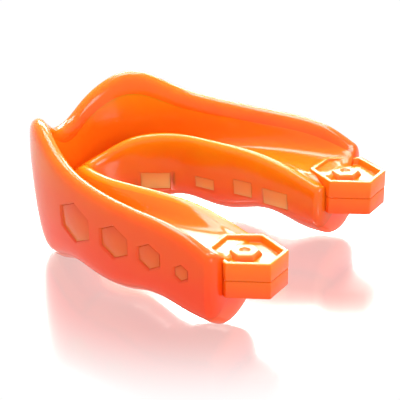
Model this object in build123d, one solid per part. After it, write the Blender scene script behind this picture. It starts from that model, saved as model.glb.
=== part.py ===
from build123d import *
import math
import os

# Gel mouthguard: a U-shaped arch with two tab ends.
# The arch frame has X to the wearer's left and right, -Y to the front teeth and +Z towards the gum.
# It is modelled about the line through the tab centres, and moved to its base centre at the end.

# Overall sizes, in mm
arch_half_width = 31.8
arch_depth = 59.0
straight_length = 0.8
crest_height = 30.0
arm_width = 19.8
front_width = 10.2
rear_overrun = 1.0

# How square the plan of each wall is: 2 is an ellipse, more is boxier, less is pointed
outer_squareness = 2.6
inner_squareness = 1.35
inner_nose_depth = 16.4

# Walls and layers
frame_wall = 1.8
liner_wall = 1.3
lingual_wall_thickness = 1.5
liner_floor = 1.2
liner_set_down = 0.5
bite_plate_thickness = 2.4
pad_recess = 0.5
inner_pad_recess = 0.4

# Notch for the lip's frenum in the front crest
notch_half_width = 5.0
notch_radius = 1.5
notch_depth = 8.3
notch_overshoot = 4.0

# Heights along one side: (share of the arch's length from the front, height).
# Each line starts a little ahead of the front, so it covers the whole front wall.
crest_drops = [(-0.05, 4.4), (0.02, 2.6), (0.1, 0.0), (0.24, 2.4), (0.42, 5.4), (0.67, 6.8), (0.87, 8.5),
               (0.96, 12.6), (1.0, 16.0)]
lingual_crest = [(-0.05, 9.0), (0.16, 13.9), (0.24, 18.8), (0.37, 20.0), (0.55, 20.3), (0.74, 19.7),
                 (0.87, 17.4), (1.0, 14.6)]
floor_line = [(-0.05, 11.6), (0.24, 12.2), (0.41, 14.2), (0.57, 15.6), (0.8, 16.3), (1.0, 16.5)]
frame_base = [(-0.05, 6.0), (0.17, 3.2), (0.35, 6.4), (0.58, 5.6), (0.73, 7.6), (0.88, 5.0), (1.0, 6.6)]
lingual_base = [(-0.05, 5.0), (0.22, 4.0), (0.4, 6.0), (0.57, 5.0), (0.73, 7.6), (0.9, 5.2), (1.0, 6.0)]
pad_base = [(-0.05, 3.0), (0.17, 0.0), (0.37, 4.2), (0.56, 1.7), (0.72, 4.6), (0.88, 0.0), (1.0, 4.0)]
pad_split = 0.39

# Windows in the outer frame: (share of length, height, width, tall)
outer_windows = [(0.38, 15.5, 8.9, 9.1), (0.57, 15.4, 7.3, 7.4), (0.72, 15.1, 5.6, 5.8), (0.847, 13.9, 3.5, 3.8)]

# Windows in the lingual wall: (share of length, height, width, tall)
inner_windows = [(0.32, 8.9, 6.0, 4.4), (0.5, 10.2, 5.1, 3.0), (0.656, 11.2, 4.8, 4.1), (0.786, 10.6, 6.4, 4.4)]
inner_window_corner = 0.8

# Tab ends
tab_offset = 10.6
tab_half_width = 7.4
tab_flat_half = 3.55
tab_rear = 7.7
tab_front = 6.6
tab_top = 17.0
tab_height = 7.5
tab_parting = 3.8
tab_base_inset = 0.25
tab_rim = 0.95
tab_recess = 1.4
stud_base_width = 6.9
stud_top_width = 5.5
stud_set_down = 0.35
dimple_diameter = 2.5
dimple_depth = 0.6

# How far cutting and bounding solids run past the body
spare = 10.0

front_y = -(arch_depth + straight_length)
body_length = rear_overrun - front_y
inner_half_width = arch_half_width - arm_width
inner_front_y = front_y + front_width
reach = arch_half_width + spare
tall = crest_height + spare
tab_x = arch_half_width - tab_offset
tab_bottom = tab_top - tab_height
parting_height = tab_top - tab_parting
quarter_turn = 90
plan_steps = 6
plan_angles = [quarter_turn * step / plan_steps for step in range(1, plan_steps + 1)]


def along(share):
    return front_y + share * body_length


def arch_point(angle, half_width, depth, squareness, front):
    turn = math.radians(angle)
    return (half_width * math.sin(turn) ** (2 / squareness), front + depth * (1 - math.cos(turn)))


def plan_region(half_width, depth, squareness, front):
    right = [arch_point(angle, half_width, depth, squareness, front) for angle in plan_angles]
    left = [(-x, y) for x, y in reversed(right)]
    back = along(1) + spare
    curve = Spline(*left, (0, front), *right)
    rear = Polyline(right[-1], (half_width, back), (-half_width, back), left[0])
    return extrude(make_face(curve + rear), amount=tall)


def outer_region(inset):
    return plan_region(arch_half_width - inset, arch_depth - inset, outer_squareness, front_y + inset)


def inner_region(outset):
    half_width = inner_half_width + outset
    return plan_region(half_width, inner_nose_depth + outset, inner_squareness, inner_front_y - outset)


def side_slab(top, base):
    upper = [(along(share), height) for share, height in top]
    lower = [(along(share), height) for share, height in reversed(base)]
    outline = Spline(*upper) + Line(upper[-1], lower[0]) + Spline(*lower) + Line(lower[-1], upper[0])
    return extrude(make_face(Plane.YZ * outline), amount=reach, both=True)


def lowered(line, drop):
    return [(share, height - drop) for share, height in line]


def window_plane(share, height, outer):
    # The plane stands on the wall's outside, its normal pointing away from the wall
    y = along(share)
    half_width = arch_half_width if outer else inner_half_width
    depth = arch_depth if outer else inner_nose_depth
    front = front_y if outer else inner_front_y
    squareness = outer_squareness if outer else inner_squareness
    travel = min((y - front) / depth, 1.0)
    turn = math.degrees(math.acos(1 - travel))
    x, y_wall = arch_point(turn, half_width, depth, squareness, front)
    ahead_x, ahead_y = arch_point(min(turn + 1, quarter_turn), half_width, depth, squareness, front)
    behind_x, behind_y = arch_point(min(turn, quarter_turn - 1) - 1, half_width, depth, squareness, front)
    along_wall = Vector(ahead_x - behind_x, ahead_y - behind_y, 0).normalized()
    outward = Vector(along_wall.Y, -along_wall.X, 0)
    return Plane(origin=(x, y if travel == 1.0 else y_wall, height), x_dir=along_wall, z_dir=outward)


def hex_outline(width, height):
    half = width / 2
    corner = height / 4
    return Polygon((half, corner), (0, height / 2), (-half, corner), (-half, -corner), (0, -height / 2),
                   (half, -corner), align=None)


def outer_window(share, height, width, tall_size):
    plane = window_plane(share, height, True)
    return extrude(plane * hex_outline(width, tall_size), amount=2 * frame_wall, both=True)


def inner_window(share, height, width, tall_size):
    plane = window_plane(share, height, False)
    outline = plane * RectangleRounded(width, tall_size, inner_window_corner)
    return extrude(outline, amount=2 * lingual_wall_thickness, both=True)


def tab_outline(inset):
    wide = tab_half_width - inset
    flat = tab_flat_half - inset / 2
    rear = tab_rear - inset
    front = -tab_front + inset
    corners = [(wide, 0), (flat, rear), (-flat, rear), (-wide, 0), (-flat, front), (flat, front)]
    return Polygon(*corners, align=None)


def tab_block(inset, low, high):
    return extrude(Pos(tab_x, 0, low) * tab_outline(inset), amount=high - low)


def tab_seat():
    # The room for the whole tab and for everything behind its side corners
    high = tall - tab_bottom
    behind = Pos(tab_x, tab_rear / 2, tab_bottom + high / 2) * Box(2 * tab_half_width, tab_rear, high)
    return tab_block(0, tab_bottom, tall) + behind


def mirrored(solid):
    return mirror(solid, about=Plane.YZ)


def without_tabs(body):
    seat = tab_seat()
    return body - seat - mirrored(seat)


# The layers of the walls, in plan
outer_skin = outer_region(0)
outer_core = outer_region(frame_wall)
channel_outer = outer_region(frame_wall + liner_wall)
tongue_space = inner_region(0)
lingual_core = inner_region(lingual_wall_thickness)
channel_inner = inner_region(lingual_wall_thickness + liner_wall)

# The heights of the walls, seen from the side
crest_line = [(share, crest_height - drop) for share, drop in crest_drops]
plate_top = lowered(floor_line, liner_floor)
plate_base = lowered(plate_top, bite_plate_thickness)
outer_band = side_slab(crest_line, frame_base)
lingual_band = side_slab(lingual_crest, lingual_base)
above_plate = side_slab([(plate_top[0][0], tall), (plate_top[-1][0], tall)], plate_top)

# Frenum notch through the front crest
notch_floor = crest_height - notch_depth
notch_top = crest_height + notch_overshoot
arc_top = notch_floor + notch_radius
notch_arc = ThreePointArc((-notch_radius, arc_top), (0, notch_floor), (notch_radius, arc_top))
flare = Polyline(notch_arc @ 1, (notch_half_width, notch_top), (-notch_half_width, notch_top), notch_arc @ 0)
notch_face = make_face(Plane.XZ * (notch_arc + flare))
notch = Pos(0, inner_front_y, 0) * extrude(notch_face, amount=2 * front_width)

# Shock frame: the outer wall, with its windows
windows = [outer_window(*window) for window in outer_windows]
openings = [inner_window(*window) for window in inner_windows]
shock_frame = without_tabs((outer_skin - outer_core) & outer_band) - notch
for window in windows:
    shock_frame = shock_frame - window - mirrored(window)

# Lingual wall: the lower wall on the tongue side, with its windows
lingual_wall = without_tabs((lingual_core - tongue_space) & lingual_band)
for opening in openings:
    lingual_wall = lingual_wall - opening - mirrored(opening)

# Gel liner: one lining over the outer wall's inside, the bite floor and the lingual wall
lining_crest = lowered(crest_line, liner_set_down)
lingual_lining_crest = lowered(lingual_crest, liner_set_down)
outer_lining = (outer_core - channel_outer) & side_slab(lining_crest, frame_base) & above_plate
inner_lining = (channel_inner - lingual_core) & side_slab(lingual_lining_crest, lingual_base) & above_plate
floor_lining = (outer_core - lingual_core) & side_slab(floor_line, plate_top)
gel_liner = without_tabs(outer_lining + floor_lining + inner_lining) - notch

# Bite plate: the firm core under the liner, whose ends meet the tabs
bite_plate = without_tabs((outer_core - lingual_core) & side_slab(plate_top, plate_base))

# Jaw pads: the soft lobes under the plate, one round the front and one under each arm
pad_body = without_tabs((outer_core - lingual_core) & side_slab(plate_base, pad_base))
split_y = along(pad_split)
front_half = Pos(0, split_y - reach, tall / 2) * Box(2 * reach, 2 * reach, 2 * tall)
front_pad = pad_body & front_half
rear_pads = pad_body - front_half
right_side = Pos(reach, 0, 0) * Box(2 * reach, 8 * reach, 4 * tall)

# Gel pads that fill the windows, set back a little from each wall's face
outer_layer = outer_region(pad_recess) - outer_core
inner_layer = lingual_core - inner_region(inner_pad_recess)

# Tab ends: an upper cup with a hexagonal recess, a lower half and a locating stud
recess_floor = tab_top - tab_recess
end_tab = tab_block(0, parting_height, tab_top) - tab_block(tab_rim, recess_floor, tall)
tab_base = tab_block(tab_base_inset, tab_bottom, parting_height)
stud_top = tab_top - stud_set_down
stud_foot = Pos(tab_x, 0, recess_floor) * RegularPolygon(stud_base_width / 2, 6)
stud_head = Pos(tab_x, 0, stud_top) * RegularPolygon(stud_top_width / 2, 6)
dimple = Pos(tab_x, 0, stud_top) * Cylinder(dimple_diameter / 2, 2 * dimple_depth)
locating_stud = loft([stud_foot, stud_head]) - dimple

pieces = {
    "shock_frame": shock_frame,
    "lingual_wall": lingual_wall,
    "gel_liner": gel_liner,
    "bite_plate": bite_plate,
    "jaw_pad_front": front_pad,
    "jaw_pad_right": rear_pads & right_side,
    "jaw_pad_left": rear_pads & mirrored(right_side),
}
for name, piece in {"end_tab": end_tab, "tab_base": tab_base, "locating_stud": locating_stud}.items():
    pieces[name + "_right"] = piece
    pieces[name + "_left"] = mirrored(piece)
for number, window in enumerate(windows, start=1):
    pieces[f"outer_gel_pad_{number}_right"] = outer_layer & window
    pieces[f"outer_gel_pad_{number}_left"] = outer_layer & mirrored(window)
for number, opening in enumerate(openings, start=1):
    pieces[f"inner_gel_pad_{number}_right"] = inner_layer & opening
    pieces[f"inner_gel_pad_{number}_left"] = inner_layer & mirrored(opening)

# The origin is the middle of the base
whole = Compound(children=[solid for piece in pieces.values() for solid in piece.solids()])
box = whole.bounding_box()
to_base_centre = Pos(-box.center().X, -box.center().Y, -box.min.Z)

os.makedirs("parts", exist_ok=True)
for name, piece in pieces.items():
    export_step(to_base_centre * piece, f"parts/{name}.step")
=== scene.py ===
import math
import bmesh
import bpy
from mathutils import Matrix, Vector


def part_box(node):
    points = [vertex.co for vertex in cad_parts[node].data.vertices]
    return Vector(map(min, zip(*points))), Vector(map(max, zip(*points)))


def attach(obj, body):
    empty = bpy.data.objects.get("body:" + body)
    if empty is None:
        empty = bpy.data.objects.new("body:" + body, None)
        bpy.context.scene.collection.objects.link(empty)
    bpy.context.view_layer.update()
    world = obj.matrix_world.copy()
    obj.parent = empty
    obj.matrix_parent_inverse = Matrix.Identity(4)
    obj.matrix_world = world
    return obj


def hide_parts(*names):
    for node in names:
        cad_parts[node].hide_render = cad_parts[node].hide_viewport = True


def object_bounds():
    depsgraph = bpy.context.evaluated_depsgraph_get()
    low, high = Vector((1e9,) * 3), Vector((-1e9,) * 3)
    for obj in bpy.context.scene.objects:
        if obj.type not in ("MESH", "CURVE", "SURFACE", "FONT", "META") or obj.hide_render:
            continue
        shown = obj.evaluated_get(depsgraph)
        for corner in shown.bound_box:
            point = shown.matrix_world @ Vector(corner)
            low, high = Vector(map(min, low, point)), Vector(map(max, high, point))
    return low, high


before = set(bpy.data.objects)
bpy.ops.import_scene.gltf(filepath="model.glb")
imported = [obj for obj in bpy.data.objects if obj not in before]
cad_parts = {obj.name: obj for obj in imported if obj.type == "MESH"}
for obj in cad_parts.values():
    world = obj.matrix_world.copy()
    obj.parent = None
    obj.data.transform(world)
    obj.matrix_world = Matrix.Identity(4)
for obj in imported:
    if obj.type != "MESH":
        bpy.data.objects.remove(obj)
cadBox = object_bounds()
print("frame loaded:", len(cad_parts), "nodes")

mm = 0.001
sides = ("right", "left")
tabLow, tabHigh = (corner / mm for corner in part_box("end_tab_right"))
archFront = cadBox[0].y / mm
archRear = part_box("shock_frame")[1].y / mm


def deselectAll():
    if bpy.context.object and bpy.context.object.mode != "OBJECT":
        bpy.ops.object.mode_set(mode="OBJECT")
    bpy.ops.object.select_all(action="DESELECT")


def makeActive(piece):
    deselectAll()
    piece.select_set(True)
    bpy.context.view_layer.objects.active = piece


def editMode(piece):
    makeActive(piece)
    bpy.ops.object.mode_set(mode="EDIT")
    bpy.ops.mesh.select_mode(type="FACE")


def objectMode():
    bpy.ops.object.mode_set(mode="OBJECT")


def faceOutwards():
    # in edit mode: turns every face outwards and goes back to object mode
    bpy.ops.mesh.select_all(action="SELECT")
    bpy.ops.mesh.normals_make_consistent(inside=False)
    objectMode()


def applyModifier(piece, kind, **settings):
    makeActive(piece)
    modifier = piece.modifiers.new(kind.title(), kind)
    for name, value in settings.items():
        setattr(modifier, name, value)
    bpy.ops.object.modifier_apply(modifier=modifier.name)


def bevelEdges(piece, width):
    applyModifier(piece, "BEVEL", width=width * mm, segments=3, limit_method="ANGLE")


def cutAway(piece, cutter):
    applyModifier(piece, "BOOLEAN", operation="DIFFERENCE", object=cutter, solver="EXACT")
    bpy.data.objects.remove(cutter)


def applyPlace(piece):
    makeActive(piece)
    bpy.ops.object.transform_apply(location=True, rotation=True, scale=True)


def selectWhere(piece, test):
    # selects the faces whose middle and normal pass the test
    mesh = bmesh.from_edit_mesh(piece.data)
    for face in mesh.faces:
        face.select_set(bool(test(face.calc_center_median() / mm, face.normal)))
    bmesh.update_edit_mesh(piece.data)


def smoothByAngle(piece, degrees=38):
    makeActive(piece)
    bpy.ops.object.shade_smooth_by_angle(angle=math.radians(degrees))


def copyOf(piece, name, mirrored=False):
    makeActive(piece)
    bpy.ops.object.duplicate()
    twin = bpy.context.object
    twin.name = twin.data.name = name
    if mirrored:
        twin.scale.x = -1
        applyPlace(twin)
        editMode(twin)
        faceOutwards()
    return twin


def finishPiece(piece, material, slot, *nodes):
    piece.data.materials.clear()
    piece.data.materials.append(material)
    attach(piece, "root")
    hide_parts(*nodes)


def readOff(rows, share):
    # a smooth line through rows of (share of the arch, value)
    if share <= rows[0][0]:
        return rows[0][1]
    if share >= rows[-1][0]:
        return rows[-1][1]
    index = max(i for i in range(len(rows) - 1) if rows[i][0] <= share)
    (x0, y0), (x1, y1) = rows[index], rows[index + 1]
    before = rows[max(index - 1, 0)]
    after = rows[min(index + 2, len(rows) - 1)]
    t = (share - x0) / (x1 - x0)
    slopeIn = (y1 - before[1]) / (x1 - before[0]) * (x1 - x0)
    slopeOut = (after[1] - y0) / (after[0] - x0) * (x1 - x0)
    ease = t * t * (3 - 2 * t)
    bend = t * (1 - t)
    return y0 * (1 - ease) + y1 * ease + slopeIn * bend * (1 - t) - slopeOut * bend * t


# the gel: one recipe, in the colours of each layer

gelTints = {
    # colours at the first height, half-way and at the second height, heights in mm; the shift from the deep
    # colour to the lit colour is painted light: painted shade at the deep end and painted light at the lit
    # end, which on the walls, tabs and stud lies at the top, where light glows through the thin gel
    "frameGel": {"deep": (0.92, 0.054, 0.0030), "middle": (0.87, 0.087, 0.0036),
                 "clear": (0.87, 0.144, 0.0036), "heights": (9, 27)},
    "linerGel": {"deep": (0.73, 0.129, 0.0042), "middle": (0.73, 0.144, 0.0042),
                 "clear": (0.74, 0.220, 0.0048), "heights": (11, 27)},
    "lingualGel": {"deep": (0.73, 0.072, 0.0036), "middle": (0.73, 0.129, 0.0036),
                   "clear": (0.74, 0.205, 0.0036), "heights": (6, 20)},
    # jaw pads: lighter and paler towards their feet, painted light from the white floor below
    "jawPadGel": {"deep": (0.87, 0.053, 0.0048), "middle": (0.87, 0.084, 0.0072),
                  "clear": (0.87, 0.152, 0.0240), "heights": (9, -1)},
    "coreGel": {"deep": (0.73, 0.061, 0.0036), "middle": (0.73, 0.091, 0.0036),
                "clear": (0.74, 0.137, 0.0036), "heights": (8, 14)},
    # outer window pads: their slightly paler colour is their own, and the lighter lower edge is a painted
    # highlight on the lit lower bevel
    "windowGel": {"deep": (0.87, 0.087, 0.0072), "middle": (0.87, 0.110, 0.0096),
                  "clear": (0.87, 0.167, 0.0240), "heights": (19, 11)},
    # inner window pads: pale, and paler low down, a painted pool of light shining through the windows from
    # behind
    "innerWindowGel": {"deep": (0.74, 0.152, 0.0180), "middle": (0.74, 0.228, 0.0480),
                       "clear": (0.74, 0.319, 0.0840), "heights": (15, 8)},
    "tabGel": {"deep": (0.87, 0.084, 0.0048), "middle": (0.87, 0.129, 0.0048),
               "clear": (0.87, 0.182, 0.0048), "heights": (9, 17.5)},
    "studGel": {"deep": (0.87, 0.099, 0.0048), "middle": (0.87, 0.137, 0.0120),
                "clear": (0.87, 0.198, 0.0300), "heights": (15, 17)},
}
gelFinish = {
    "cloudScale": 85, "cloudDetail": 2, "cloudShift": 0.34,            # drift of colour through the gel
    "smearScale": 240, "smearDetail": 4, "roughness": (0.09, 0.20),    # slightly uneven gloss
    "waveStrength": 0.12, "waveHeight": 0.06,                          # very soft waves of a moulded skin, mm
    "ior": 1.45, "specular": 0.4,
    "soak": 0.6, "soakColour": (1.0, 0.42, 0.12), "soakDepth": 1.6,    # light that enters the gel, mm
}


def makeGel(name, tint):
    material = bpy.data.materials.new(name)
    material.use_nodes = True
    nodes, links = material.node_tree.nodes, material.node_tree.links
    shader = nodes["Principled BSDF"]
    place = nodes.new("ShaderNodeTexCoord")
    split = nodes.new("ShaderNodeSeparateXYZ")
    links.new(place.outputs["Object"], split.inputs[0])
    # colour by height: the ramp from the deep colour to the lit colour paints light and shade onto the gel,
    # and the cloud noise only makes the tone drift at random
    rise = nodes.new("ShaderNodeMapRange")
    rise.inputs["From Min"].default_value = tint["heights"][0] * mm
    rise.inputs["From Max"].default_value = tint["heights"][1] * mm
    links.new(split.outputs["Z"], rise.inputs["Value"])
    cloud = nodes.new("ShaderNodeTexNoise")
    cloud.inputs["Scale"].default_value = gelFinish["cloudScale"]
    cloud.inputs["Detail"].default_value = gelFinish["cloudDetail"]
    links.new(place.outputs["Object"], cloud.inputs["Vector"])
    drift = nodes.new("ShaderNodeMath")
    drift.operation = "MULTIPLY_ADD"
    drift.inputs[1].default_value = gelFinish["cloudShift"]
    drift.inputs[2].default_value = -gelFinish["cloudShift"] / 2
    links.new(cloud.outputs[0], drift.inputs[0])
    total = nodes.new("ShaderNodeMath")
    total.operation = "ADD"
    links.new(rise.outputs["Result"], total.inputs[0])
    links.new(drift.outputs[0], total.inputs[1])
    ramp = nodes.new("ShaderNodeValToRGB")
    ramp.color_ramp.interpolation = "EASE"
    ramp.color_ramp.elements[0].color = (*tint["deep"], 1)
    ramp.color_ramp.elements[1].color = (*tint["clear"], 1)
    ramp.color_ramp.elements.new(0.5).color = (*tint["middle"], 1)
    links.new(total.outputs[0], ramp.inputs["Fac"])
    links.new(ramp.outputs["Color"], shader.inputs["Base Color"])
    smear = nodes.new("ShaderNodeTexNoise")
    smear.inputs["Scale"].default_value = gelFinish["smearScale"]
    smear.inputs["Detail"].default_value = gelFinish["smearDetail"]
    links.new(place.outputs["Object"], smear.inputs["Vector"])
    gloss = nodes.new("ShaderNodeMapRange")
    gloss.inputs["To Min"].default_value = gelFinish["roughness"][0]
    gloss.inputs["To Max"].default_value = gelFinish["roughness"][1]
    links.new(smear.outputs[0], gloss.inputs["Value"])
    links.new(gloss.outputs["Result"], shader.inputs["Roughness"])
    bump = nodes.new("ShaderNodeBump")
    bump.inputs["Strength"].default_value = gelFinish["waveStrength"]
    bump.inputs["Distance"].default_value = gelFinish["waveHeight"] * mm
    links.new(smear.outputs[0], bump.inputs["Height"])
    links.new(bump.outputs["Normal"], shader.inputs["Normal"])
    shader.inputs["IOR"].default_value = gelFinish["ior"]
    shader.inputs["Specular IOR Level"].default_value = gelFinish["specular"]
    shader.inputs["Subsurface Weight"].default_value = gelFinish["soak"]
    shader.inputs["Subsurface Radius"].default_value = gelFinish["soakColour"]
    shader.inputs["Subsurface Scale"].default_value = gelFinish["soakDepth"] * mm
    return material


gels = {name: makeGel(name, tint) for name, tint in gelTints.items()}
print("materials:", len(gels))


# the body: one skin pulled round the arch, then parted into its layers

arch = {
    "halfWidth": 31.8, "depth": 59.0, "square": 2.5,             # plan of the outer face
    "innerHalf": 12.0, "noseDepth": 16.4, "innerSquare": 1.35,   # plan of the face on the tongue side
    "frontWidth": 10.2, "innerTurn": 1.6,     # front thickness, and how much faster the inner face turns
    "turns": (0, 3, 6, 10, 14, 18, 23, 28, 33, 38, 43, 48, 53, 58, 63, 68, 73, 78, 83, 88),
    "caps": ((0.2, 1.0), (1.3, 0.94), (1.9, 0.78), (2.1, 0.45)),   # past the last section, and its size
    # heights along the arch: (share from the front, height)
    "crest": ((0.0, 21.9), (0.012, 24.6), (0.03, 26.7), (0.06, 28.7), (0.1, 30.2), (0.14, 30.4), (0.19, 29.3),
              (0.24, 27.5), (0.3, 25.9), (0.36, 24.8), (0.43, 24.1), (0.51, 23.5), (0.6, 23.0), (0.7, 22.7),
              (0.8, 22.2), (0.86, 21.2), (0.92, 19.3), (0.97, 17.0), (1.0, 15.4)),
    "inner": ((0.0, 13.9), (0.15, 14.2), (0.18, 16.0), (0.24, 18.8), (0.3, 19.7), (0.37, 20.1), (0.55, 20.2),
              (0.67, 20.1), (0.74, 19.6), (0.8, 18.7), (0.86, 17.4), (0.91, 16.2), (1.0, 14.5)),
    "floor": ((0.0, 11.6), (0.24, 12.0), (0.41, 14.0), (0.57, 15.4), (0.8, 16.2), (1.0, 16.4)),
    "base": ((0.0, 1.4), (0.08, 0.7), (0.17, 0.0), (0.26, 1.6), (0.37, 4.2), (0.46, 3.0), (0.56, 1.7),
             (0.65, 3.2), (0.72, 4.6), (0.8, 2.4), (0.88, 0.0), (0.94, 1.0), (1.0, 3.4)),
    "outerEdge": ((0.0, 3.0), (0.1, 1.8), (0.17, 1.2), (0.27, 3.6), (0.35, 5.0), (0.45, 4.5), (0.58, 4.3),
                  (0.65, 5.4), (0.73, 6.4), (0.81, 5.0), (0.89, 3.5), (0.93, 3.3), (1.0, 5.8)),
    "innerEdge": ((0.0, 4.0), (0.22, 3.6), (0.39, 5.4), (0.57, 4.7), (0.65, 6.4), (0.73, 7.4), (0.8, 6.6),
                  (0.87, 5.3), (0.93, 5.2), (1.0, 6.0)),
    "lean": ((0.0, 1.7), (0.3, 1.1), (0.6, 0.4), (1.0, 0.5)),    # how far the outer face's foot leans in
}
layers = {
    # faces counted round a section from its foot, and the wall's thickness
    "jaw_pad": {"faces": (22, 23, 0, 1, 2), "wall": 1.6, "gel": "jawPadGel", "slot": "jaw_pad_gel"},
    "shock_frame": {"faces": range(3, 10), "wall": 1.1, "gel": "frameGel", "slot": "frame_gel"},
    "gel_liner": {"faces": range(10, 16), "wall": 1.0, "gel": "linerGel", "slot": "liner_gel"},
    "lingual_wall": {"faces": range(16, 22), "wall": 1.0, "gel": "lingualGel", "slot": "core_gel"},
}
padSplit = 0.39    # share of the arch's length that the front pad takes
doubleReach, seamReach = 0.01, 0.05    # how near corners lie that are merged
skinReach = 0.02    # how near the skin a face lies that takes its shading


def archPoint(turn, halfWidth, depth, square, front):
    angle = math.radians(turn)
    return Vector((halfWidth * math.sin(angle) ** (2 / square), front + depth * (1 - math.cos(angle)), 0))


def sectionEnds(turn):
    # the outer and the inner foot point of one section across the arch
    outer = archPoint(turn, arch["halfWidth"], arch["depth"], arch["square"], archFront)
    innerTurn = arch["innerTurn"] * turn
    innerFront = archFront + arch["frontWidth"]
    if innerTurn < 90:
        inner = archPoint(innerTurn, arch["innerHalf"], arch["noseDepth"], arch["innerSquare"], innerFront)
        return outer, inner
    return outer, Vector((arch["innerHalf"], outer.y, 0))


def sectionCorners(outer, inner):
    # the corners of one section, as (distance in from the outer face, height), round from its foot
    width = (inner - outer).length
    across = (inner - outer) / width
    length = archRear - archFront
    outerShare = (outer.y - archFront) / length
    innerShare = (inner.y - archFront) / length
    middle = (outerShare + innerShare) / 2
    crest = readOff(arch["crest"], outerShare)
    inside = readOff(arch["inner"], innerShare)
    floor = readOff(arch["floor"], middle)
    base = readOff(arch["base"], middle)
    outerEdge = readOff(arch["outerEdge"], outerShare)
    innerEdge = readOff(arch["innerEdge"], innerShare)
    lean = readOff(arch["lean"], outerShare)
    half = 0.47 * width    # the channel's corners stay short of the middle where the arch is narrow
    rows = [
        (0.5 * width, base),                                                     # foot
        (0.3 * width, base + 0.25 * (outerEdge - base)),
        (lean + min(2.6, 0.18 * width), outerEdge),                              # round of the outer edge
        (lean + 0.5, outerEdge + 1.3),
        (0.5 * lean, outerEdge + 3.8),                                           # outer face
        (-0.1, (outerEdge + crest) / 2),
        (-0.05, crest - 4.0),
        (0.05, crest - 1.0),
        (1.2, crest + 0.6),                                                      # round of the crest
        (min(3.0, 0.4 * width), crest + 0.3),
        (min(4.1, 0.43 * width), max(crest - 2.0, floor + 1.6)),                 # down into the channel
        (min(4.7, 0.44 * width), floor + 1.4),
        (min(6.4, half), floor),
        (0.5 * width, floor - 0.1),                                              # middle of the channel
        (width - min(5.6, half), floor + 0.1),
        (width - min(4.2, 0.42 * width), floor + 0.55 * (inside - floor)),
        (width - min(3.0, 0.36 * width), inside - 0.7),                          # round of the inner crest
        (width - 1.5, inside + 0.2),
        (width - 0.25, inside - 0.9),
        (width, inside - 4.0),                                                   # face on the tongue side
        (width + 0.1, (inside + innerEdge) / 2 - 1.0),
        (width - 0.4, innerEdge + 2.2),
        (width - 1.9, innerEdge + 0.3),                                          # round of the inner edge
        (0.74 * width, base + 0.45 * (innerEdge - base)),
    ]
    return [outer + across * reach + Vector((0, 0, height)) for reach, height in rows]


def cageRings():
    rings = [sectionCorners(*sectionEnds(turn)) for turn in arch["turns"]]
    last = rings[-1]
    centre = sum(last, Vector()) / len(last)
    for past, size in arch["caps"]:
        rings.append([centre + (corner - centre) * size + Vector((0, past, 0)) for corner in last])
    return rings


def pullGrid(name, rings, layerOf=None):
    # a flat grid, one row to a section, pulled round the arch, joined along its seam, closed and mirrored
    columns, rows = len(rings[0]), len(rings) - 1
    deselectAll()
    bpy.ops.mesh.primitive_grid_add(x_subdivisions=columns, y_subdivisions=rows, size=2)
    shape = bpy.context.object
    shape.name = shape.data.name = name
    if layerOf:
        for _ in layers:
            shape.data.materials.append(None)
    editMode(shape)
    mesh = bmesh.from_edit_mesh(shape.data)
    place = {v: (round((v.co.x + 1) / 2 * columns), round((v.co.y + 1) / 2 * rows)) for v in mesh.verts}
    if layerOf:
        for face in mesh.faces:
            face.material_index = layerOf[min(place[v][0] for v in face.verts)]
    for vertex, (column, row) in place.items():
        vertex.co = rings[row][column % columns] * mm
    bmesh.update_edit_mesh(shape.data)
    bpy.ops.mesh.select_all(action="SELECT")
    bpy.ops.mesh.remove_doubles(threshold=doubleReach * mm)
    bpy.ops.mesh.select_all(action="DESELECT")
    bpy.ops.mesh.select_mode(type="EDGE")
    mesh = bmesh.from_edit_mesh(shape.data)
    for edge in mesh.edges:
        edge.select_set(edge.is_boundary and all(v.co.y > 0 for v in edge.verts))
    bmesh.update_edit_mesh(shape.data)
    bpy.ops.mesh.edge_face_add()
    objectMode()
    applyModifier(shape, "MIRROR", use_clip=True, use_mirror_merge=True, merge_threshold=seamReach * mm)
    editMode(shape)
    faceOutwards()
    return shape


def buildSkin():
    layerOf = {column: index for index, layer in enumerate(layers.values()) for column in layer["faces"]}
    skin = pullGrid("skin", cageRings(), layerOf)
    applyModifier(skin, "SUBSURF", levels=3, render_levels=3)
    makeActive(skin)
    bpy.ops.object.shade_smooth()
    return skin


def partSkin(skin):
    parts = {}
    for index, name in enumerate(layers):
        layer = copyOf(skin, name)
        editMode(layer)
        mesh = bmesh.from_edit_mesh(layer.data)
        for face in mesh.faces:
            face.select_set(face.material_index != index)
        bmesh.update_edit_mesh(layer.data)
        bpy.ops.mesh.delete(type="FACE")
        objectMode()
        parts[name] = layer
    return parts


def splitPads(body):
    # one pad round the front and one under each arm
    splitY = archFront + padSplit * (archRear - archFront)
    belongs = {
        "jaw_pad_front": lambda spot: spot.y < splitY,
        "jaw_pad_right": lambda spot: spot.y >= splitY and spot.x > 0,
        "jaw_pad_left": lambda spot: spot.y >= splitY and spot.x < 0,
    }
    pads = {}
    for name, inPad in belongs.items():
        pad = copyOf(body, name)
        editMode(pad)
        selectWhere(pad, lambda centre, normal: not inPad(centre))
        bpy.ops.mesh.delete(type="FACE")
        objectMode()
        pads[name] = pad
    bpy.data.objects.remove(body)
    return pads


def giveWall(piece, thickness):
    applyModifier(piece, "SOLIDIFY", thickness=thickness * mm, offset=-1, use_even_offset=False)
    smoothByAngle(piece)


def matchSkin(piece):
    # the layers share the skin's shading, so their seams don't show as creases
    applyModifier(piece, "DATA_TRANSFER", object=skin, use_loop_data=True, data_types_loops={"CUSTOM_NORMAL"},
                  loop_mapping="POLYINTERP_NEAREST", use_max_distance=True, max_distance=skinReach * mm)


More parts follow.
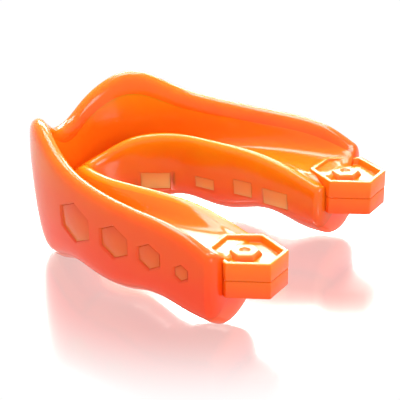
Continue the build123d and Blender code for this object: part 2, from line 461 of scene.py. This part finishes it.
skin = buildSkin()
skinParts = partSkin(skin)
pads = splitPads(skinParts.pop("jaw_pad"))
for name, piece in skinParts.items():
    piece.name = piece.data.name = name + "_gel"
    giveWall(piece, layers[name]["wall"])
jawPad = layers["jaw_pad"]
for name, pad in pads.items():
    giveWall(pad, jawPad["wall"])
    matchSkin(pad)
    pad.name = pad.data.name = name + "_lobe"
    finishPiece(pad, gels[jawPad["gel"]], jawPad["slot"], name)
print("skin parted:", sorted(skinParts), sorted(pads))


# windows: recesses in the walls, each with a gel pad on its bed

windows = {
    # trim is taken off the CAD pad's width, padTop is how far a pad's face lies below the wall's
    "shock_frame": {"pads": "outer_gel_pad", "count": 4, "corners": 6, "trim": 0.3, "depth": 0.7,
                    "slope": 0.9, "padTop": 0.45, "gel": "windowGel"},
    "lingual_wall": {"pads": "inner_gel_pad", "count": 4, "corners": 4, "trim": 0.0, "depth": 0.45,
                     "slope": 1.4, "padTop": 0.3, "gel": "innerWindowGel"},
}
windowPad = {"half": 0.3, "spread": 0.1, "bevel": 0.16}    # half its thickness, and how far its sides flare
probeReach = 4    # how far outside the wall the ray that finds its face starts


def wallFrame(wall, middle, outer):
    # where a window meets the wall, and the wall's directions there
    if outer:
        turn = math.degrees(math.acos(max(0.0, 1 - (middle.y - archFront) / arch["depth"])))
        shape = (arch["halfWidth"], arch["depth"], arch["square"], archFront)
    else:
        innerFront = archFront + arch["frontWidth"]
        travel = min((middle.y - innerFront) / arch["noseDepth"], 1.0)
        turn = math.degrees(math.acos(1 - travel))
        shape = (arch["innerHalf"], arch["noseDepth"], arch["innerSquare"], innerFront)
    point = archPoint(min(turn, 90), *shape)
    if turn >= 90:
        point.y = middle.y
    ahead = archPoint(min(turn + 1, 90), *shape)
    behind = archPoint(min(turn, 89) - 1, *shape)
    forward = (ahead - behind).normalized()
    outward = Vector((forward.y, -forward.x, 0)) if outer else Vector((-forward.y, forward.x, 0))
    start = Vector((point.x, point.y, middle.z)) + outward * probeReach
    found, spot, normal, _ = wall.ray_cast(start * mm, -outward)
    if not found:
        raise ValueError(f"no wall at {start}")
    upward = normal.cross(forward).normalized()
    upSign = 1 if upward.z > 0 else -1
    return spot / mm, upward.cross(normal).normalized(), upward * upSign, normal


def windowBlock(name, width, height, corners, depth, spread, place, forward, upward, outward):
    # a prism lying across the wall, its outer end larger by the spread all round
    deselectAll()
    bpy.ops.mesh.primitive_cylinder_add(vertices=corners, radius=1, depth=2 * depth * mm)
    block = bpy.context.object
    block.name = block.data.name = name
    turn = math.radians(45) if corners == 4 else 0
    reach = math.sqrt(2) if corners == 4 else 2 / math.sqrt(3)
    editMode(block)
    mesh = bmesh.from_edit_mesh(block.data)
    for vertex in mesh.verts:
        side = Vector((vertex.co.x, vertex.co.y))
        side.rotate(Matrix.Rotation(turn, 2))
        grow = spread if vertex.co.z > 0 else 0.0
        tall = height + 2 * grow if corners == 4 else (height + 2 * grow) / reach
        across = Vector((side.x * (width + 2 * grow), side.y * tall)) * reach / 2 * mm
        vertex.co = place * mm + forward * across.x + upward * across.y + outward * vertex.co.z
    mesh.normal_update()
    bmesh.update_edit_mesh(block.data)
    faceOutwards()
    return block


def cutFrom(piece, cutters):
    deselectAll()
    for cutter in cutters:
        cutter.select_set(True)
    bpy.context.view_layer.objects.active = cutters[0]
    bpy.ops.object.join()
    cutAway(piece, cutters[0])


for wallName, window in windows.items():
    outer = wallName == "shock_frame"
    wall = skinParts[wallName]
    deep, corners = window["depth"], window["corners"]
    flare = window["slope"] * deep
    cutters = []
    for number in range(1, window["count"] + 1):
        node = f"{window['pads']}_{number}_right"
        low, high = (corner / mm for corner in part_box(node))
        place, forward, upward, outward = wallFrame(wall, (low + high) / 2, outer)
        height = high.z - low.z - flare
        width = (high - low).to_2d().dot(Vector((abs(forward.x), abs(forward.y)))) - window["trim"] - flare
        cutters.append(windowBlock("cutter", width, height, corners, deep, 2 * flare,
                                   place, forward, upward, outward))
        cutters.append(copyOf(cutters[-1], "cutterLeft", mirrored=True))
        bed = place - outward * (windowPad["half"] + window["padTop"])
        pad = windowBlock(node + "_gel", width, height, corners, windowPad["half"], windowPad["spread"],
                          bed, forward, upward, outward)
        bevelEdges(pad, windowPad["bevel"])
        smoothByAngle(pad)
        for side in sides:
            name = node.replace("right", side)
            piece = pad if side == "right" else copyOf(pad, name + "_gel", mirrored=True)
            finishPiece(piece, gels[window["gel"]], "window_gel", name)
    cutFrom(wall, cutters)
    smoothByAngle(wall)
    print("windows cut:", wallName, len(wall.data.polygons), "faces")

for piece in skinParts.values():
    matchSkin(piece)
bpy.data.objects.remove(skin)
for name, piece in skinParts.items():
    finishPiece(piece, gels[layers[name]["gel"]], layers[name]["slot"], name)


# tab ends: cup, base block and locating stud

tab = {
    "flatHalf": 3.55, "rear": 7.7,                        # half a flat side, and middle to rear side
    "rim": 0.95, "recess": 1.4, "recessTaper": 0.96,      # the cup's wall and depth, and its floor's size
    "bevel": 0.22, "gap": 0.04,                           # gap is half the parting line above the base
}
tabBase = {"inset": 0.05, "bevel": 0.22}
stud = {"foot": 6.9, "top": 5.5, "bevel": 0.14, "ball": 1.56, "ballRise": 1.08}    # its ball cuts the dimple


def tabOutline(inset):
    middle = Vector(((tabLow.x + tabHigh.x) / 2, tabHigh.y - tab["rear"]))
    wide = (tabHigh.x - tabLow.x) / 2 - inset
    flat = tab["flatHalf"] - inset / 2
    rear, front = tab["rear"] - inset, middle.y - tabLow.y - inset
    points = [(-flat, -front), (flat, -front), (wide, 0), (flat, rear), (-flat, rear), (-wide, 0)]
    return [middle + Vector(point) for point in points]


def tabPrism(name, inset, low, high):
    deselectAll()
    bpy.ops.mesh.primitive_cylinder_add(vertices=6, radius=1, depth=2)
    block = bpy.context.object
    block.name = block.data.name = name
    editMode(block)
    mesh = bmesh.from_edit_mesh(block.data)
    inTurn = sorted(mesh.verts, key=lambda v: math.atan2(v.co.y, v.co.x))
    rings = ([v for v in inTurn if v.co.z < 0], low), ([v for v in inTurn if v.co.z > 0], high)
    for ring, height in rings:
        for vertex, point in zip(ring, tabOutline(inset)):
            vertex.co = Vector((point.x, point.y, height)) * mm
    mesh.normal_update()
    bmesh.update_edit_mesh(block.data)
    faceOutwards()
    return block


def buildTab():
    cup = tabPrism("end_tab_cup_right", 0, tabLow.z + tab["gap"], tabHigh.z)
    editMode(cup)
    selectWhere(cup, lambda centre, normal: normal.z > 0.9)
    bpy.ops.mesh.inset(thickness=tab["rim"] * mm)
    bpy.ops.mesh.extrude_region_move(TRANSFORM_OT_translate={"value": (0, 0, -tab["recess"] * mm)})
    bpy.ops.transform.resize(value=(tab["recessTaper"], tab["recessTaper"], 1))
    objectMode()
    bevelEdges(cup, tab["bevel"])
    smoothByAngle(cup)
    return cup


def buildTabBase():
    low, high = (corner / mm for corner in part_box("tab_base_right"))
    base = tabPrism("tab_base_block_right", tabBase["inset"], low.z, high.z - tab["gap"])
    bevelEdges(base, tabBase["bevel"])
    smoothByAngle(base)
    return base


def buildStud():
    low, high = (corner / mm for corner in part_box("locating_stud_right"))
    middle = (low + high) / 2 * mm
    deselectAll()
    bpy.ops.mesh.primitive_cone_add(vertices=6, radius1=stud["foot"] / 2 * mm, radius2=stud["top"] / 2 * mm,
                                    depth=(high.z - low.z) * mm, location=middle,
                                    rotation=(0, 0, math.radians(30)))
    boss = bpy.context.object
    boss.name = boss.data.name = "locating_stud_boss_right"
    applyPlace(boss)
    bevelEdges(boss, stud["bevel"])
    deselectAll()
    bpy.ops.mesh.primitive_uv_sphere_add(segments=32, ring_count=16, radius=stud["ball"] * mm,
                                         location=(middle.x, middle.y, (high.z + stud["ballRise"]) * mm))
    cutAway(boss, bpy.context.object)
    smoothByAngle(boss, 30)
    return boss


for build, node, material, slot in ((buildTab, "end_tab", "tabGel", "tab_gel"),
                                    (buildTabBase, "tab_base", "tabGel", "tab_gel"),
                                    (buildStud, "locating_stud", "studGel", "stud_gel")):
    right = build()
    left = copyOf(right, right.name.replace("right", "left"), mirrored=True)
    finishPiece(right, gels[material], slot, node + "_right")
    finishPiece(left, gels[material], slot, node + "_left")
print("tabs built")


# bite plate: the firm core inside the gel

core = {
    "down": 1.5, "thick": 2.2, "bevel": 0.4,              # down from the channel's floor
    "fromOuter": 2.6, "fromInner": 2.2, "lastTurn": 79,   # kept inside both faces and short of the tabs
}
channelCorner = 13    # the section's corner in the middle of the channel


def coreCorners(outer, inner):
    corners = sectionCorners(outer, inner)
    across = (inner - outer).normalized()
    near = outer + across * core["fromOuter"]
    far = inner - across * core["fromInner"]
    top = corners[channelCorner].z - core["down"]
    return [spot + Vector((0, 0, height)) for spot, height in
            ((near, top - core["thick"]), (near, top), (far, top), (far, top - core["thick"]))]


def buildCore():
    rings = [coreCorners(*sectionEnds(turn)) for turn in arch["turns"] if turn < core["lastTurn"]]
    plate = pullGrid("bite_plate_core", rings)
    bevelEdges(plate, core["bevel"])
    smoothByAngle(plate)
    return plate


finishPiece(buildCore(), gels["coreGel"], "core_gel", "bite_plate")
print("core built")


# stage: floor, camera and lights

studioFloor = {
    "size": 3.0, "white": 1.02, "roughness": 0.16, "tint": (1.0, 0.95, 0.89, 1),
    "mirror": 0.55, "mirrorFull": 1.0, "mirrorEnd": 2.0,    # fades between these, in half widths of the guard
}
studioCamera = {
    "azimuth": 121.54, "elevation": 25.51, "roll": -0.52, "distance": 349.5, "lens": 150.9,
    "sensor": 36.0, "nearest": 0.01,
    "ahead": 22.99, "height": 12.9,    # the point it aims at: ahead of the tabs, and its height
}
softBoxes = {
    # place and size in metres, power in watts
    "overhead": {"place": (-0.10, -0.06, 0.48), "size": (0.32, 0.32), "power": 4.2},
    "rear": {"place": (-0.47, -0.29, 0.34), "size": (0.5, 0.3), "power": 6.5},
    "rightSide": {"place": (0.20, 0.60, 0.25), "size": (0.2, 0.25), "power": 1.3},
}
worldLight = {"colour": (1, 1, 1, 1), "strength": 0.9}


def buildFloor():
    # a white glossy sheet whose mirror dies away from the object
    deselectAll()
    bpy.ops.mesh.primitive_plane_add(size=studioFloor["size"], location=(0, 0, 0))
    floor = bpy.context.object
    floor.name = "floor"
    paint = bpy.data.materials.new("floorGloss")
    paint.use_nodes = True
    nodes, links = paint.node_tree.nodes, paint.node_tree.links
    nodes.remove(nodes["Principled BSDF"])
    white = nodes.new("ShaderNodeEmission")
    white.inputs["Strength"].default_value = studioFloor["white"]
    mirror = nodes.new("ShaderNodeBsdfGlossy")
    mirror.inputs["Roughness"].default_value = studioFloor["roughness"]
    mirror.inputs["Color"].default_value = studioFloor["tint"]
    place = nodes.new("ShaderNodeTexCoord")
    footprint = nodes.new("ShaderNodeMapping")
    footprint.inputs["Scale"].default_value = (1 / cadBox[1].x, 1 / cadBox[1].y, 1)
    distance = nodes.new("ShaderNodeVectorMath")
    distance.operation = "LENGTH"
    fade = nodes.new("ShaderNodeMapRange")
    fade.interpolation_type = "SMOOTHSTEP"
    fade.inputs["From Min"].default_value = studioFloor["mirrorFull"]
    fade.inputs["From Max"].default_value = studioFloor["mirrorEnd"]
    fade.inputs["To Min"].default_value = studioFloor["mirror"]
    fade.inputs["To Max"].default_value = 0.0
    mix = nodes.new("ShaderNodeMixShader")
    links.new(place.outputs["Object"], footprint.inputs["Vector"])
    links.new(footprint.outputs["Vector"], distance.inputs[0])
    links.new(distance.outputs["Value"], fade.inputs["Value"])
    links.new(fade.outputs["Result"], mix.inputs["Fac"])
    links.new(white.outputs["Emission"], mix.inputs[1])
    links.new(mirror.outputs["BSDF"], mix.inputs[2])
    links.new(mix.outputs["Shader"], nodes["Material Output"].inputs["Surface"])
    floor.data.materials.append(paint)


def buildCamera():
    azimuth, elevation, roll = (math.radians(studioCamera[k]) for k in ("azimuth", "elevation", "roll"))
    level = math.cos(elevation)
    back = Vector((math.sin(azimuth) * level, -math.cos(azimuth) * level, math.sin(elevation)))
    right = Vector((math.cos(azimuth), math.sin(azimuth), 0))
    up = back.cross(right)
    rightRolled = right * math.cos(roll) + up * math.sin(roll)
    upRolled = up * math.cos(roll) - right * math.sin(roll)
    target = Vector((0, tabHigh.y - tab["rear"] - studioCamera["ahead"], studioCamera["height"]))
    data = bpy.data.cameras.new("camera")
    data.lens = studioCamera["lens"]
    data.sensor_width = studioCamera["sensor"]
    data.clip_start = studioCamera["nearest"]
    camera = bpy.data.objects.new("camera", data)
    turn = Matrix((rightRolled, upRolled, back)).transposed().to_4x4()
    camera.matrix_world = Matrix.Translation((target + back * studioCamera["distance"]) * mm) @ turn
    bpy.context.scene.collection.objects.link(camera)
    bpy.context.scene.camera = camera


def softBox(name, place, size, power):
    data = bpy.data.lights.new(name, "AREA")
    data.shape = "RECTANGLE"
    data.size, data.size_y = size
    data.energy = power
    light = bpy.data.objects.new(name, data)
    light.location = place
    light.rotation_euler = (-Vector(place)).to_track_quat("-Z", "Y").to_euler()
    bpy.context.scene.collection.objects.link(light)


def lightWorld():
    world = bpy.data.worlds.new("studio")
    bpy.context.scene.world = world
    world.use_nodes = True
    sky = world.node_tree.nodes["Background"]
    sky.inputs["Color"].default_value = worldLight["colour"]
    sky.inputs["Strength"].default_value = worldLight["strength"]
    bpy.context.scene.view_settings.view_transform = "Standard"


buildFloor()
buildCamera()
for name, box in softBoxes.items():
    softBox(name, box["place"], box["size"], box["power"])
lightWorld()
print("stage set")
